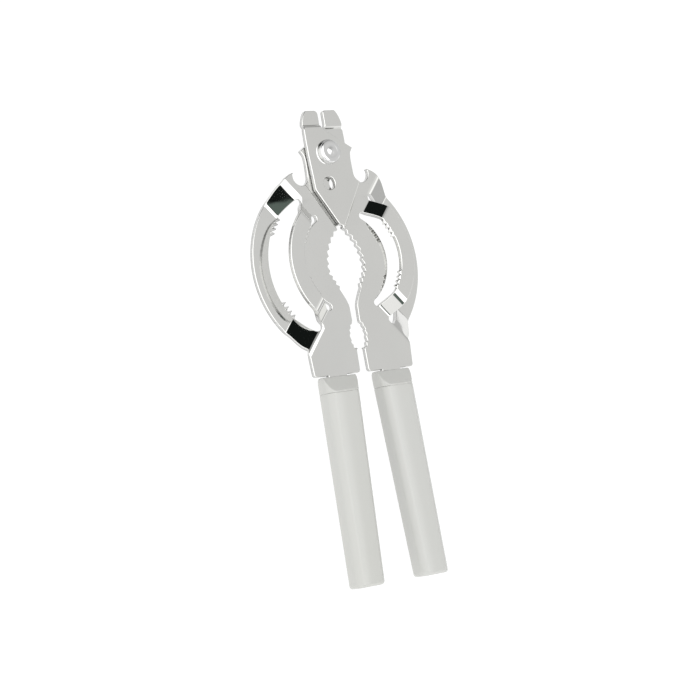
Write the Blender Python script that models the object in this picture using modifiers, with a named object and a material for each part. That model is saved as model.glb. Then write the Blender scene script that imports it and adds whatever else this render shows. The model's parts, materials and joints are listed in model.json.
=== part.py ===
"""Plier-type multi-purpose opener: two riveted chrome levers with plastic grips.

Everything is built around the pivot axis (x = 0, y = 0) in millimetres, with
the tool axis along y, the noses at +y and the grips at -y.  The finished pieces
are scaled to metres and moved so that the bottom centre of the whole tool's
bounding box is the world origin.  Every piece keeps its origin on the pivot axis.
"""
import math

import bmesh
import bpy
from mathutils import Vector
from mathutils.geometry import delaunay_2d_cdt

for _ob in list(bpy.data.objects):
    bpy.data.objects.remove(_ob, do_unlink=True)

MM = 0.001

# ---------------------------------------------------------------- dimensions
PLATE_T = 2.0            # steel thickness
PLATE_GAP = 0.3          # running gap between the two stacked heads
HEAD_Z = (PLATE_T + PLATE_GAP) / 2   # how far each head is joggled off the middle plane

ARC_X, ARC_Y = 0.52, -46.74   # centre of the jaw arcs of the right-hand arm
R_MAIN = 20.7            # outer edge of the main body
R_STRIP_IN = 23.6        # raised strip
R_STRIP_OUT = 30.3
R_BAND_IN = 33.3         # lowered band
R_BAND_OUT = 41.0
R_ROOT_OUT = 42.6        # outer edge where the band joins the body
STRIP_RISE = 6.4
BAND_DROP = 6.4
ROOT_OUTER = 55.3        # degrees: band edge swells from here ...
ROOT_INNER = 42.0        # ... to here
RAMP_OUTER = 57.8        # degrees: where a ramp leaves the middle plane
RAMP_INNER = 41.5        # degrees: where it reaches full height
STRIP_LOW_INNER = 38.6   # the same for the lower ramp of the strip
RAMP_LINE = 50.0         # degrees: direction of the parallel bend lines
BEND_LOW, BEND_HIGH = 0.22, 0.24   # shares of the ramp taken by its two bends
STRIP_LOW_BEND_HIGH = 0.36
SLOT1_END = 57.9         # degrees: centre of the round end of each slot
SLOT2_END = 55.8

NOSE_TOP = 18.35
NOSE_HALF_GAP = 1.3
NOSE_BEND = (10.75, 11.75)
CREASE_A = (12.9, -13.3)     # line along which the head drops to the arm level
CREASE_B = (1.9, -31.3)
CREASE_W = 1.1

HEAD_SIDE = {1: (9.75, 10.25, 10.4, 10.35), -1: (9.8, 10.6, 10.95, 10.8)}   # long side of the
HEAD_SIDE_Y = (-11.0, -1.5, 5.5, 9.6)                 # front and of the slightly wider rear head
HOOK = (12.5, 1.45)          # upper corner of the crown-cap notch
NOTCH_C, NOTCH_R = (15.0, -9.45), 4.1
TOOTH_ANGLE = 24.0

HOLE_C, HOLE_R = (-2.2, -13.35), 2.85   # small hole below the rivet
PIVOT_HOLE_R = 3.16

JAW_C, JAW_R = (-12.5, -49.0), 21.9     # toothed arc of the central jaw
JAW_A0, JAW_A1 = 52.4, -7.0
TOOTH_PITCH, TOOTH_DEPTH = 3.05, 0.85
SMALL_PITCH, SMALL_DEPTH = 2.05, 0.45
RIM_PITCH, RIM_DEPTH = 2.45, 0.65       # teeth inside strip and band
STRIP_TEETH = ((40.5, 19.0), (-16.0, -37.5))
BAND_TEETH = ((41.0, 25.0), (-25.0, -41.0))

PLATE_SIDE_X = 25.2
PLATE_BOTTOM = -94.1
PLATE_INNER_X = 2.1
CORNER_R = 1.3
TANG_HALF, TANG_END = 4.6, -140.0

GRIP_TOP, GRIP_END = -94.6, -182.2
GRIP_X0, GRIP_SLOPE = 13.61, 0.0313     # centre line: x grows downwards
GRIP_HALF_W0, GRIP_HALF_W1 = 8.21, 6.95
GRIP_HALF_T = 5.35
GRIP_CORNER = 2.6
GRIP_HIP = 6.3                          # length of the sloped shoulder
GRIP_HIP_Z = 1.75                       # half thickness where it starts
GRIP_END_R = 1.7
SOCKET_GAP = 0.3

RIVET_SHANK_R = 3.06
RIVET_HEAD_R = 5.3
RIVET_HEAD_H = 2.1
RIVET_GAP = 0.15
RIVET_BACK_H = 1.5

BOTTOM_Z = -(BAND_DROP + PLATE_T / 2)
SHIFT = (0.0, -(NOSE_TOP + GRIP_END) / 2, -BOTTOM_Z)


# ---------------------------------------------------------------- 2-D helpers
def polar(angle, radius, centre=(ARC_X, ARC_Y)):
    a = math.radians(angle)
    return (centre[0] + radius * math.cos(a), centre[1] + radius * math.sin(a))


def arc(centre, radius, a0, a1, steps, ends=True):
    pts = [polar(a0 + (a1 - a0) * i / steps, radius, centre) for i in range(steps + 1)]
    return pts if ends else pts[1:-1]


def bezier(p0, p1, p2, steps):
    out = []
    for i in range(steps + 1):
        t = i / steps
        out.append(tuple((1 - t) ** 2 * a + 2 * t * (1 - t) * b + t * t * c
                         for a, b, c in zip(p0, p1, p2)))
    return out


def tooth_wave(phase):
    """0 in a root, 1 on a rounded tip."""
    return 0.5 - 0.5 * math.cos(2 * math.pi * phase)


def toothed_arc(centre, radius, a0, a1, pitch, depth, inward, per=6):
    """Arc whose teeth stand off the radius towards (inward = -1) or away from its centre."""
    length = abs(math.radians(a1 - a0)) * radius
    teeth = max(1, round(length / pitch))
    n = teeth * per
    out = []
    for i in range(n + 1):
        a = a0 + (a1 - a0) * i / n
        out.append(polar(a, radius + inward * depth * tooth_wave(i / per), centre))
    return out


def toothed_line(p, q, pitch, depth, side, per=6):
    dx, dy = q[0] - p[0], q[1] - p[1]
    length = math.hypot(dx, dy)
    nx, ny = -dy / length * side, dx / length * side
    teeth = max(1, round(length / pitch))
    n = teeth * per
    out = []
    for i in range(n + 1):
        k = depth * tooth_wave(i / per)
        out.append((p[0] + dx * i / n + nx * k, p[1] + dy * i / n + ny * k))
    return out


def smooth_step(t):
    t = min(1.0, max(0.0, t))
    return t * t * (3 - 2 * t)


def band_outer(angle):
    t = (abs(angle) - ROOT_INNER) / (ROOT_OUTER - ROOT_INNER)
    return R_BAND_OUT + (R_ROOT_OUT - R_BAND_OUT) * smooth_step(t)


def grip_centre(y):
    return GRIP_X0 + GRIP_SLOPE * (GRIP_TOP - y)


def lever_outline(head):
    """Outer loop of the lever whose arm is on the right (+x) and nose on the left."""
    gap = -NOSE_HALF_GAP
    pts = [(-7.35, NOSE_TOP)]
    # top of the nose, rounded inner corner, inner edge
    pts += arc((gap - 1.2, NOSE_TOP - 1.2), 1.2, 90, 0, 5)
    pts += [(gap, NOSE_BEND[1]), (gap, NOSE_BEND[0] - 0.1)]
    # sloped top edge of the head, down to the hook of the crown-cap notch
    pts += [HOOK, (11.1, -0.65), (10.75, -3.4)]
    pts += arc(NOTCH_C, NOTCH_R, 180, 360 + TOOTH_ANGLE, 18)
    # back of the tooth, then the outer edge of the band
    root = polar(ROOT_OUTER, R_ROOT_OUT)
    pts += bezier(pts[-1], (22.4, -8.8), root, 6)[1:-1]
    n = 64
    for i in range(n + 1):
        a = ROOT_OUTER - 2 * ROOT_OUTER * i / n
        pts.append(polar(a, band_outer(a)))
    # lower plate
    pts += [(PLATE_SIDE_X, pts[-1][1] - 1.5)]
    pts += arc((PLATE_SIDE_X - CORNER_R, PLATE_BOTTOM + CORNER_R), CORNER_R, 0, -90, 4)
    # tang inside the grip
    pts += [(grip_centre(PLATE_BOTTOM) + TANG_HALF, PLATE_BOTTOM),
            (grip_centre(TANG_END) + TANG_HALF, TANG_END),
            (grip_centre(TANG_END) - TANG_HALF, TANG_END),
            (grip_centre(PLATE_BOTTOM) - TANG_HALF, PLATE_BOTTOM)]
    pts += arc((PLATE_INNER_X + CORNER_R, PLATE_BOTTOM + CORNER_R), CORNER_R, -90, -180, 4)
    # small jaw
    low, high, sag = (2.05, -84.3), (1.7, -72.2), 2.35
    half = math.hypot(low[0] - high[0], low[1] - high[1]) / 2
    radius = (half * half + sag * sag) / (2 * sag)
    centre = ((low[0] + high[0]) / 2 - (radius - sag), (low[1] + high[1]) / 2)
    a_low = math.degrees(math.atan2(low[1] - centre[1], low[0] - centre[0]))
    a_high = math.degrees(math.atan2(high[1] - centre[1], high[0] - centre[0]))
    pts += toothed_arc(centre, radius, a_low, a_high, SMALL_PITCH, SMALL_DEPTH, -1, 5)
    # throat and central jaw
    jaw_low = polar(JAW_A1, JAW_R, JAW_C)
    line_end = (5.3, -58.5)
    pts += bezier((1.95, -66.2), (2.3, -63.6), line_end, 5)[:-1]
    pts += toothed_line(line_end, jaw_low, TOOTH_PITCH, TOOTH_DEPTH, 1)[:-1]
    pts += toothed_arc(JAW_C, JAW_R, JAW_A1, JAW_A0, TOOTH_PITCH, TOOTH_DEPTH, -1)
    # lower edge and long side of the head
    pts += [(-0.55, -31.1)]
    pts += bezier((-9.2, -16.45), (-9.65, -15.7), (-9.63, -14.8), 3)
    pts += [(-x, y) for x, y in zip(HEAD_SIDE[head], HEAD_SIDE_Y)]
    pts += bezier((-10.2, 11.3), (-9.9, 15.2), (-7.9, 17.85), 6)
    return pts


def slot(r_in, r_out, end, teeth, smooth_extra):
    """Closed loop of a curved slot. Teeth stand inwards off the outer radius."""
    mid, cap = (r_in + r_out) / 2, (r_out - r_in) / 2
    pts = []
    steps = 40
    # inner edge, from bottom to top
    for i in range(steps + 1):
        pts.append(polar(-end + 2 * end * i / steps, r_in))
    # top cap
    c = polar(end, mid)
    pts += arc(c, cap, end + 180, end, 8, False)
    # outer edge, from top to bottom: plain, toothed, plain, toothed, plain
    (t0, t1), (t2, t3) = teeth
    pts += arc((ARC_X, ARC_Y), r_out, end, t0, 6)[:-1]
    pts += toothed_arc((ARC_X, ARC_Y), r_out, t0, t1, RIM_PITCH, RIM_DEPTH, -1, 5)
    pts += arc((ARC_X, ARC_Y), r_out, t1, t2, 14, False)
    pts += toothed_arc((ARC_X, ARC_Y), r_out, t2, t3, RIM_PITCH, RIM_DEPTH, -1, 5)
    pts += arc((ARC_X, ARC_Y), r_out, t3, -end, 6)[1:]
    # bottom cap
    c = polar(-end, mid)
    pts += arc(c, cap, -end, -end - 180, 8, False)
    return pts


def circle(centre, radius, n):
    return [polar(360 * i / n, radius, centre) for i in range(n)]


def on_plate(loops, x, y):
    """Inside the outer loop and outside every hole, by counting crossings."""
    crossings = 0
    for loop in loops:
        for (x0, y0), (x1, y1) in zip(loop, loop[1:] + loop[:1]):
            if (y0 > y) != (y1 > y) and x < x0 + (x1 - x0) * (y - y0) / (y1 - y0):
                crossings += 1
    return crossings % 2 == 1


class Ramp:
    """One slope between the middle plane and a strip or band, with straight parallel bends.

    It starts at the angle RAMP_OUTER on the middle radius of its strip and runs
    across to the angle inner; up is +1 for the ramp above the jaw, -1 below it.
    """

    def __init__(self, radius, up, inner, share_high):
        line = math.radians(RAMP_LINE)
        self.along = (math.cos(line), up * math.sin(line))
        self.across = (math.sin(line), -up * math.cos(line))
        self.start = polar(up * RAMP_OUTER, radius)
        end = polar(up * inner, radius)
        self.length = sum((e - s) * k for e, s, k in zip(end, self.start, self.across))
        self.low, self.high = BEND_LOW, share_high
        self.up = up

    def share(self, x, y):
        """0 on the middle plane, 1 at full height, with both bends rounded."""
        u = ((x - self.start[0]) * self.across[0]
             + (y - self.start[1]) * self.across[1]) / self.length
        if u <= 0:
            return 0.0
        if u >= 1:
            return 1.0
        m = 1 / (1 - (self.low + self.high) / 2)
        if u < self.low:
            return m * u * u / (2 * self.low)
        if u > 1 - self.high:
            return 1 - m * (1 - u) ** 2 / (2 * self.high)
        return m * (u - self.low / 2)

    def line(self, u, r_in, r_out):
        """Segment at share u of the ramp, from one radius to another."""
        q = [s + u * self.length * k - c for s, k, c in
             zip(self.start, self.across, (ARC_X, ARC_Y))]
        b = sum(i * j for i, j in zip(q, self.along))
        c = sum(i * i for i in q)
        out = []
        for r in (r_in, r_out):
            t = -b + math.sqrt(b * b - c + r * r)
            out.append((ARC_X + q[0] + t * self.along[0], ARC_Y + q[1] + t * self.along[1]))
        return out


MID_STRIP = (R_STRIP_IN + R_STRIP_OUT) / 2
MID_BAND = (R_BAND_IN + R_BAND_OUT) / 2
STRIP_RAMPS = {1: Ramp(MID_STRIP, 1, RAMP_INNER, BEND_HIGH),
               -1: Ramp(MID_STRIP, -1, STRIP_LOW_INNER, STRIP_LOW_BEND_HIGH)}
BAND_RAMPS = {1: Ramp(MID_BAND, 1, RAMP_INNER, BEND_HIGH),
              -1: Ramp(MID_BAND, -1, RAMP_INNER, BEND_HIGH)}


def crease_side(x, y):
    """Distance from the crease line, positive on the arm side."""
    dx, dy = CREASE_B[0] - CREASE_A[0], CREASE_B[1] - CREASE_A[1]
    return ((x - CREASE_A[0]) * -dy + (y - CREASE_A[1]) * dx) / math.hypot(dx, dy)


def level(x, y, head):
    """Height of the middle surface of the plate; head is +1 for the front lever."""
    nose = (y - NOSE_BEND[0]) / (NOSE_BEND[1] - NOSE_BEND[0])
    arm = crease_side(x, y) / CREASE_W
    z = head * HEAD_Z * (1 - smooth_step(nose)) * (1 - smooth_step(arm))
    r = math.hypot(x - ARC_X, y - ARC_Y)
    if x > ARC_X and r > R_MAIN:
        up = 1 if y > ARC_Y else -1
        strip = STRIP_RISE * STRIP_RAMPS[up].share(x, y)
        band = -BAND_DROP * BAND_RAMPS[up].share(x, y)
        w1 = smooth_step((r - R_MAIN) / (R_STRIP_IN - R_MAIN))
        w2 = smooth_step((r - R_STRIP_OUT) / (R_BAND_IN - R_STRIP_OUT))
        z += w1 * ((1 - w2) * strip + w2 * band)
    return z


def bend_lines():
    """Segments the triangulation has to follow, so that each bend is clean."""
    lines = []
    mid1, mid2 = (R_MAIN + R_STRIP_IN) / 2, (R_STRIP_OUT + R_BAND_IN) / 2
    for ramps, r0, r1 in ((STRIP_RAMPS, mid1, mid2), (BAND_RAMPS, mid2, R_ROOT_OUT + 1)):
        for ramp in ramps.values():
            for u in (0.0, ramp.low / 2, ramp.low, 1 - ramp.high, 1 - ramp.high / 2, 1.0):
                lines.append(ramp.line(u, r0, r1))
    for t in (0.0, 0.33, 0.67, 1.0):
        y = NOSE_BEND[0] + t * (NOSE_BEND[1] - NOSE_BEND[0])
        lines.append(((-11.5, y), (-0.6, y)))
        dx, dy = CREASE_B[0] - CREASE_A[0], CREASE_B[1] - CREASE_A[1]
        d = math.hypot(dx, dy)
        nx, ny = -dy / d, dx / d
        o = t * CREASE_W
        a = (CREASE_A[0] - dx / d * 2.5 + nx * o, CREASE_A[1] - dy / d * 2.5 + ny * o)
        b = (CREASE_B[0] + dx / d * 2.0 + nx * o, CREASE_B[1] + dy / d * 2.0 + ny * o)
        lines.append((a, b))
    return lines


# ---------------------------------------------------------------- 3-D helpers
def collection(name, hidden=False):
    c = bpy.data.collections.new(name)
    bpy.context.scene.collection.children.link(c)
    c.hide_render = hidden
    return c


TOOL = collection("multi_opener")
CUTTERS = collection("cutters", True)


def material(name, colour, roughness, metallic):
    m = bpy.data.materials.new(name)
    m.use_nodes = True
    b = m.node_tree.nodes["Principled BSDF"]
    b.inputs["Base Color"].default_value = (*colour, 1)
    b.inputs["Roughness"].default_value = roughness
    b.inputs["Metallic"].default_value = metallic
    m.diffuse_color = (*colour, 1)
    return m


def finish(bm, name, mat, where=TOOL):
    bmesh.ops.recalc_face_normals(bm, faces=bm.faces)
    me = bpy.data.meshes.new(name)
    bm.to_mesh(me)
    bm.free()
    ob = bpy.data.objects.new(name, me)
    where.objects.link(ob)
    ob.location = [v * MM for v in SHIFT]
    if mat:
        me.materials.append(mat)
    return ob


def lever(name, side, head, mat):
    """side +1: arm on the right; head +1: upper plate of the pivot stack."""
    loops = [lever_outline(head),
             slot(R_MAIN, R_STRIP_IN, SLOT1_END, STRIP_TEETH, 0),
             slot(R_STRIP_OUT, R_BAND_IN, SLOT2_END, BAND_TEETH, 0),
             circle((0, 0), PIVOT_HOLE_R, 48),
             circle(HOLE_C, HOLE_R, 24)]
    verts, edges = [], []
    for loop in loops:
        start = len(verts)
        verts += [Vector(p) for p in loop]
        n = len(loop)
        edges += [(start + i, start + (i + 1) % n) for i in range(n)]
    for a, b in bend_lines():
        verts += [Vector(a), Vector(b)]
        edges.append((len(verts) - 2, len(verts) - 1))
    out = delaunay_2d_cdt(verts, edges, [], 0, 1e-5)
    flat = out[0]
    tris = [t for t in out[2] if on_plate(loops, *(sum(flat[i][k] for i in t) / 3 for k in (0, 1)))]
    used = sorted({i for t in tris for i in t})
    remap = {v: i for i, v in enumerate(used)}

    bm = bmesh.new()
    for i in used:
        x, y = flat[i]
        bm.verts.new((side * x * MM, y * MM, level(x, y, head) * MM))
    bm.verts.ensure_lookup_table()
    for t in tris:
        bm.faces.new([bm.verts[remap[i]] for i in t])
    bmesh.ops.recalc_face_normals(bm, faces=bm.faces)
    if sum(f.normal.z * f.calc_area() for f in bm.faces) < 0:
        bmesh.ops.reverse_faces(bm, faces=bm.faces)
    me = bpy.data.meshes.new(name)
    bm.to_mesh(me)
    bm.free()
    ob = bpy.data.objects.new(name, me)
    TOOL.objects.link(ob)
    ob.location = [v * MM for v in SHIFT]
    me.materials.append(mat)
    solid = ob.modifiers.new("thickness", "SOLIDIFY")
    solid.thickness = PLATE_T * MM
    solid.offset = 0
    solid.use_even_offset = False
    solid.use_rim = True
    return ob


def grip(name, side, mat):
    corner = [(math.cos(math.radians(a)), math.sin(math.radians(a)))
              for a in (0, 22.5, 45, 67.5, 90)]
    stations = [GRIP_TOP - GRIP_HIP * k / 4 for k in range(5)]
    stations += [GRIP_TOP - GRIP_HIP - 1.0]
    straight = GRIP_END + GRIP_END_R
    stations += [stations[-1] + (straight - stations[-1]) * k / 5 for k in range(1, 6)]
    rings = [(y, 0.0) for y in stations]
    for a in (25, 50, 72, 90):
        s = math.radians(a)
        rings.append((straight - GRIP_END_R * math.sin(s), GRIP_END_R * (1 - math.cos(s))))
    bm = bmesh.new()
    made = []
    for y, shrink in rings:
        f = (GRIP_TOP - y) / (GRIP_TOP - GRIP_END)
        hw = GRIP_HALF_W0 + (GRIP_HALF_W1 - GRIP_HALF_W0) * f - shrink
        ht = GRIP_HALF_T - shrink
        hip = min(1.0, (GRIP_TOP - y) / GRIP_HIP)
        top = min(ht, GRIP_HIP_Z + (GRIP_HALF_T - GRIP_HIP_Z) * hip)
        c = GRIP_CORNER
        cx = grip_centre(y)
        ring = []
        for sx, sz, order in ((1, 1, 1), (-1, 1, -1), (-1, -1, 1), (1, -1, -1)):
            for ca, sa in corner[::order]:
                x = sx * (hw - c + c * ca)
                z = sz * min(top, ht - c + c * sa)
                ring.append(bm.verts.new(((side * (cx + x)) * MM, y * MM, z * MM)))
        made.append(ring)
    n = len(made[0])
    for a, b in zip(made, made[1:]):
        for i in range(n):
            j = (i + 1) % n
            bm.faces.new((a[i], a[j], b[j], b[i]))
    bm.faces.new(made[0])
    bm.faces.new(made[-1][::-1])
    bmesh.ops.remove_doubles(bm, verts=bm.verts, dist=1e-6)
    bmesh.ops.triangulate(bm, faces=bm.faces)
    ob = finish(bm, name, mat)

    # socket that the tang of the lever sits in
    cut = bmesh.new()
    end = TANG_END - SOCKET_GAP
    corners = []
    for y in (PLATE_BOTTOM + 1.0, end):
        for sx, sz in ((-1, -1), (1, -1), (1, 1), (-1, 1)):
            x = side * (grip_centre(y) + sx * (TANG_HALF + SOCKET_GAP))
            z = sz * (PLATE_T / 2 + SOCKET_GAP)
            corners.append(cut.verts.new((x * MM, y * MM, z * MM)))
    a, b = corners[:4], corners[4:]
    cut.faces.new(a)
    cut.faces.new(b[::-1])
    for i in range(4):
        j = (i + 1) % 4
        cut.faces.new((a[i], b[i], b[j], a[j]))
    cutter = finish(cut, name + "_socket_cutter", None, CUTTERS)
    cutter.hide_render = True
    cutter.display_type = "WIRE"
    mod = ob.modifiers.new("socket", "BOOLEAN")
    mod.operation = "DIFFERENCE"
    mod.solver = "EXACT"
    mod.object = cutter
    return ob


def rivet(name, mat):
    """Shank with a domed, dimpled front head and a low rear head, turned about z."""
    front = HEAD_Z + PLATE_T / 2 + RIVET_GAP
    back = -front
    profile = [(0.0, front + 0.95), (0.9, front + 1.0), (1.7, front + 1.3),
               (2.4, front + 1.75), (2.9, front + 2.0)]
    for a in (75, 50, 25, 0):
        s = math.radians(a)
        profile.append((RIVET_HEAD_R - 1.5 + 1.5 * math.cos(s),
                        front + RIVET_HEAD_H - 1.5 + 1.5 * math.sin(s)))
    profile += [(RIVET_HEAD_R, front), (RIVET_SHANK_R, front), (RIVET_SHANK_R, back),
                (RIVET_HEAD_R - 0.3, back)]
    for a in (0, 30, 60, 90):
        s = math.radians(a)
        profile.append((RIVET_HEAD_R - 1.1 + 0.8 * math.cos(s),
                        back - RIVET_BACK_H + 0.8 - 0.8 * math.sin(s)))
    profile.append((0.0, back - RIVET_BACK_H))
    me = bpy.data.meshes.new(name)
    me.from_pydata([(r * MM, 0.0, z * MM) for r, z in profile],
                   [(i, i + 1) for i in range(len(profile) - 1)], [])
    me.materials.append(mat)
    ob = bpy.data.objects.new(name, me)
    TOOL.objects.link(ob)
    ob.location = [v * MM for v in SHIFT]
    turn = ob.modifiers.new("turn", "SCREW")
    turn.axis = "Z"
    turn.angle = 2 * math.pi
    turn.steps = 48
    turn.render_steps = 48
    turn.use_merge_vertices = True
    turn.merge_threshold = 0.00001
    turn.use_smooth_shade = True
    return ob


CHROME_FRONT = material("chrome_front_lever", (0.62, 0.62, 0.61), 0.12, 1.0)
CHROME_REAR = material("chrome_rear_lever", (0.60, 0.60, 0.59), 0.12, 1.0)
CHROME_RIVET = material("chrome_rivet", (0.66, 0.67, 0.68), 0.10, 1.0)
WHITE_RIGHT = material("plastic_right_grip", (0.80, 0.80, 0.77), 0.35, 0.0)
WHITE_LEFT = material("plastic_left_grip", (0.80, 0.80, 0.76), 0.35, 0.0)

lever("front_lever", 1, 1, CHROME_FRONT)
lever("rear_lever", -1, -1, CHROME_REAR)
rivet("pivot_rivet", CHROME_RIVET)
grip("right_grip", 1, WHITE_RIGHT)
grip("left_grip", -1, WHITE_LEFT)
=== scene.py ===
import json
import math

import bpy
import numpy as np
from mathutils import Matrix, Vector
from mathutils.geometry import delaunay_2d_cdt


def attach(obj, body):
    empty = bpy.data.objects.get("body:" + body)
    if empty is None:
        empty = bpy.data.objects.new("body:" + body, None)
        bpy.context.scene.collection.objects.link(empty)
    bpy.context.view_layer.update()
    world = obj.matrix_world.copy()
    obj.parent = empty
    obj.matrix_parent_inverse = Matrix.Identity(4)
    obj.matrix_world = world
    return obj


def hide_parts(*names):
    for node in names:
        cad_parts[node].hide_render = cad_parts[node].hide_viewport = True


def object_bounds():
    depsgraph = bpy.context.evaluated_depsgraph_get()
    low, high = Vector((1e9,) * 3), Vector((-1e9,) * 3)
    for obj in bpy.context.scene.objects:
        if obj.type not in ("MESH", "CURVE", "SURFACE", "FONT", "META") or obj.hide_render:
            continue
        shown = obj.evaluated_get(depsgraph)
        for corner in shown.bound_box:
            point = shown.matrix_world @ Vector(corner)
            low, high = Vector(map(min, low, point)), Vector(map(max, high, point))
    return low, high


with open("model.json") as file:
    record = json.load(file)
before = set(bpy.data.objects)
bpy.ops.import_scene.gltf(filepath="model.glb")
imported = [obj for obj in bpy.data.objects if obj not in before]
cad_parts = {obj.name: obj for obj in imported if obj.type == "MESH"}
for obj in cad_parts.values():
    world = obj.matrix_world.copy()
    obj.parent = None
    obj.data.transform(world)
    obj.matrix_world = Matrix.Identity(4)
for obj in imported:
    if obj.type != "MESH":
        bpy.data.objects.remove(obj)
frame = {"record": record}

cad_lo, cad_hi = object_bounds()
MM = 0.001
PIVOT = [v for v in frame["record"]["behaviour"]["joints"][0]["pos_m"]]

# ------------------------------------------------------------------ dimensions
# millimetres about the pivot axis, as in the CAD source
PLATE_T, PLATE_GAP = 2.0, 0.3
HEAD_Z = (PLATE_T + PLATE_GAP) / 2
ARC_X, ARC_Y = 0.52, -46.74
R_MAIN, R_STRIP_IN, R_STRIP_OUT = 20.7, 23.6, 30.3
R_BAND_IN, R_BAND_OUT, R_ROOT_OUT = 33.3, 41.0, 42.6
STRIP_RISE = BAND_DROP = 6.4
ROOT_OUTER, ROOT_INNER = 55.3, 42.0
RAMP_OUTER, RAMP_INNER, STRIP_LOW_INNER, RAMP_LINE = 57.8, 41.3, 38.6, 50.0
BAND_RAMP_OUTER, BAND_RAMP_INNER = {1: 60.0, -1: 59.6}, {1: 40.0, -1: 39.6}
BAND_BEND_LOW, BAND_BEND_HIGH = {1: 0.25, -1: 0.16}, {1: 0.16, -1: 0.08}
BEND_LOW, BEND_HIGH, STRIP_LOW_BEND_HIGH = 0.22, 0.24, 0.36
SLOT1_END, SLOT2_END = 57.9, 55.8
NOSE_TOP, NOSE_HALF_GAP, NOSE_BEND = 18.35, 1.3, (10.75, 11.75)
CREASE_A, CREASE_B, CREASE_W = (12.9, -13.3), (1.9, -31.3), 1.1
HEAD_SIDE = {1: (9.75, 10.25, 10.4, 10.35), -1: (9.8, 10.6, 10.95, 10.8)}
HEAD_SIDE_Y = (-11.0, -1.5, 5.5, 9.6)
HOOK = (12.5, 1.45)
NOTCH_C, NOTCH_R, TOOTH_ANGLE = (15.0, -9.45), 4.1, 24.0
HOLE_C, HOLE_R, PIVOT_HOLE_R = (-2.2, -13.35), 2.85, 3.16
JAW_C, JAW_R, JAW_A0, JAW_A1 = (-12.5, -49.0), 21.9, 52.4, -7.0
TOOTH_PITCH, TOOTH_DEPTH = 3.05, 0.95
SMALL_PITCH, SMALL_DEPTH = 2.05, 0.5
RIM_PITCH, RIM_DEPTH = 2.45, 0.7
STRIP_TEETH = ((40.5, 19.0), (-16.0, -37.5))
BAND_TEETH = ((41.0, 25.0), (-25.0, -41.0))
PLATE_SIDE_X, PLATE_BOTTOM, PLATE_INNER_X, CORNER_R = 25.2, -94.1, 2.1, 1.3
TANG_HALF = 4.6
GRIP_TOP, GRIP_END = -94.6, -182.2
GRIP_X0, GRIP_SLOPE = 13.61, 0.0313
GRIP_HALF_W0, GRIP_HALF_W1, GRIP_HALF_T = 8.21, 6.95, 5.35
RIVET_HEAD_R, RIVET_HEAD_H = 5.3, 2.1
RIVET_GAP, RIVET_BACK_H = 0.15, 1.5


# ------------------------------------------------------------------ outlines
def polar(angle, radius, centre=(ARC_X, ARC_Y)):
    a = math.radians(angle)
    return (centre[0] + radius * math.cos(a), centre[1] + radius * math.sin(a))


def arc(centre, radius, a0, a1, steps, ends=True):
    pts = [polar(a0 + (a1 - a0) * i / steps, radius, centre) for i in range(steps + 1)]
    return pts if ends else pts[1:-1]


def bezier(p0, p1, p2, steps):
    out = []
    for i in range(steps + 1):
        t = i / steps
        out.append(tuple((1 - t) ** 2 * a + 2 * t * (1 - t) * b + t * t * c
                         for a, b, c in zip(p0, p1, p2)))
    return out


def tooth(phase, rise):
    """0 in a root, 1 on a tip; rise is the share of the pitch that climbs to the tip."""
    phase = phase % 1.0
    if phase < rise:
        t = phase / rise
    else:
        t = (1 - phase) / (1 - rise)
    return 0.35 * t + 0.65 * t * t * (3 - 2 * t)


def toothed_arc(centre, radius, a0, a1, pitch, depth, rise, per=24):
    length = abs(math.radians(a1 - a0)) * radius
    teeth = max(1, round(length / pitch))
    n = teeth * per
    out = []
    for i in range(n + 1):
        out.append(polar(a0 + (a1 - a0) * i / n, radius - depth * tooth(i / per, rise), centre))
    return out


def toothed_line(p, q, pitch, depth, rise, per=24):
    dx, dy = q[0] - p[0], q[1] - p[1]
    length = math.hypot(dx, dy)
    nx, ny = -dy / length, dx / length
    teeth = max(1, round(length / pitch))
    n = teeth * per
    out = []
    for i in range(n + 1):
        k = depth * tooth(i / per, rise)
        out.append((p[0] + dx * i / n + nx * k, p[1] + dy * i / n + ny * k))
    return out


def smooth_step(t):
    t = np.clip(t, 0.0, 1.0)
    return t * t * (3 - 2 * t)


def band_outer(angle):
    t = (abs(angle) - ROOT_INNER) / (ROOT_OUTER - ROOT_INNER)
    return R_BAND_OUT + (R_ROOT_OUT - R_BAND_OUT) * float(smooth_step(t))


def grip_centre(y):
    return GRIP_X0 + GRIP_SLOPE * (GRIP_TOP - y)


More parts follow.
